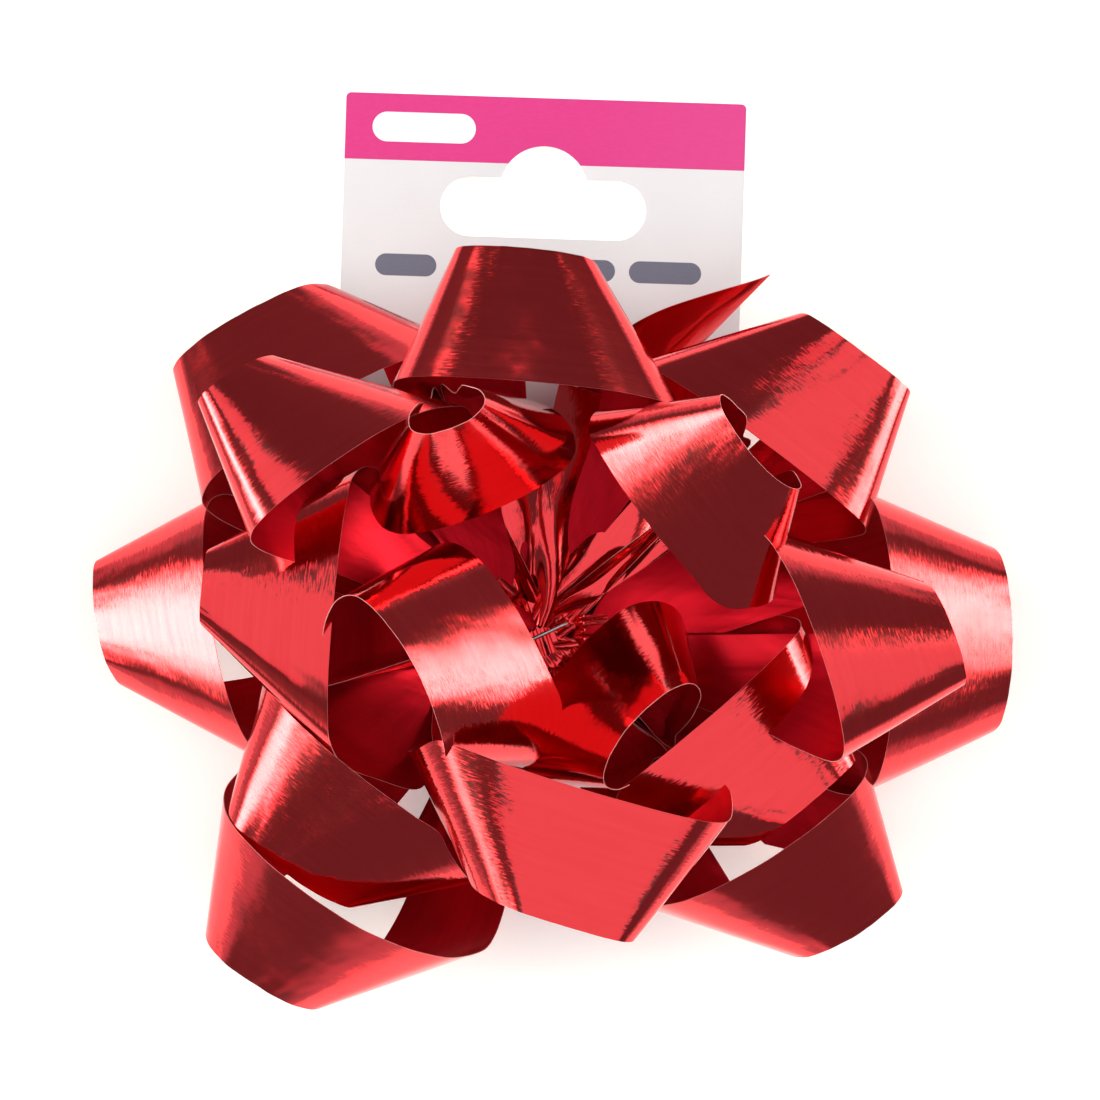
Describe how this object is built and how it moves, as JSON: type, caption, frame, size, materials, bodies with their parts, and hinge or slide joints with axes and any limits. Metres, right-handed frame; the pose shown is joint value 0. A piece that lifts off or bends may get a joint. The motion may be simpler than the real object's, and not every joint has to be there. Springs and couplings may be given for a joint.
{
  "type": "gift bow",
  "caption": "Pre-made star bow of looped red foil ribbon, stapled to a disc with a self-adhesive pad, on a printed hanging header card.",
  "frame": {"origin": "on the back face of the header card, under the staple that holds the bow", "axes": "+Z out of the card through the bow, +Y towards the card's hanging slot, +X to the right seen from the front"},
  "size_m": [0.1401, 0.1408, 0.0473],
  "materials": {
    "red_foil_ribbon": "polished",
    "printed_card": "satin",
    "base_card": "matte",
    "foam_pad": "matte",
    "staple_wire": "satin"
  },
  "bodies": {
    "card": {"header_card": "printed_card"},
    "bow": {"adhesive_pad": "foam_pad", "base_disc": "base_card", "ribbon_stack": "red_foil_ribbon", "staple": "staple_wire", "ribbon_tail": "red_foil_ribbon", "loop_outer_right": "red_foil_ribbon", "loop_outer_upper_right": "red_foil_ribbon", "loop_outer_top": "red_foil_ribbon", "loop_outer_upper_left": "red_foil_ribbon", "loop_outer_left": "red_foil_ribbon", "loop_outer_lower_left": "red_foil_ribbon", "loop_outer_lower_right": "red_foil_ribbon", "loop_middle_right": "red_foil_ribbon", "loop_middle_upper_left": "red_foil_ribbon", "loop_middle_left": "red_foil_ribbon", "loop_middle_lower_left": "red_foil_ribbon", "loop_middle_bottom": "red_foil_ribbon", "loop_middle_lower_right": "red_foil_ribbon", "loop_inner_upper_right": "red_foil_ribbon", "loop_inner_top": "red_foil_ribbon", "loop_inner_left": "red_foil_ribbon", "loop_inner_lower_right": "red_foil_ribbon"}
  },
  "joints": [
    {"name": "bow_lift", "type": "slide", "parent": "card", "child": "bow", "axis": [0, 0, 1], "range_m": [0, 0.05]}
  ]
}
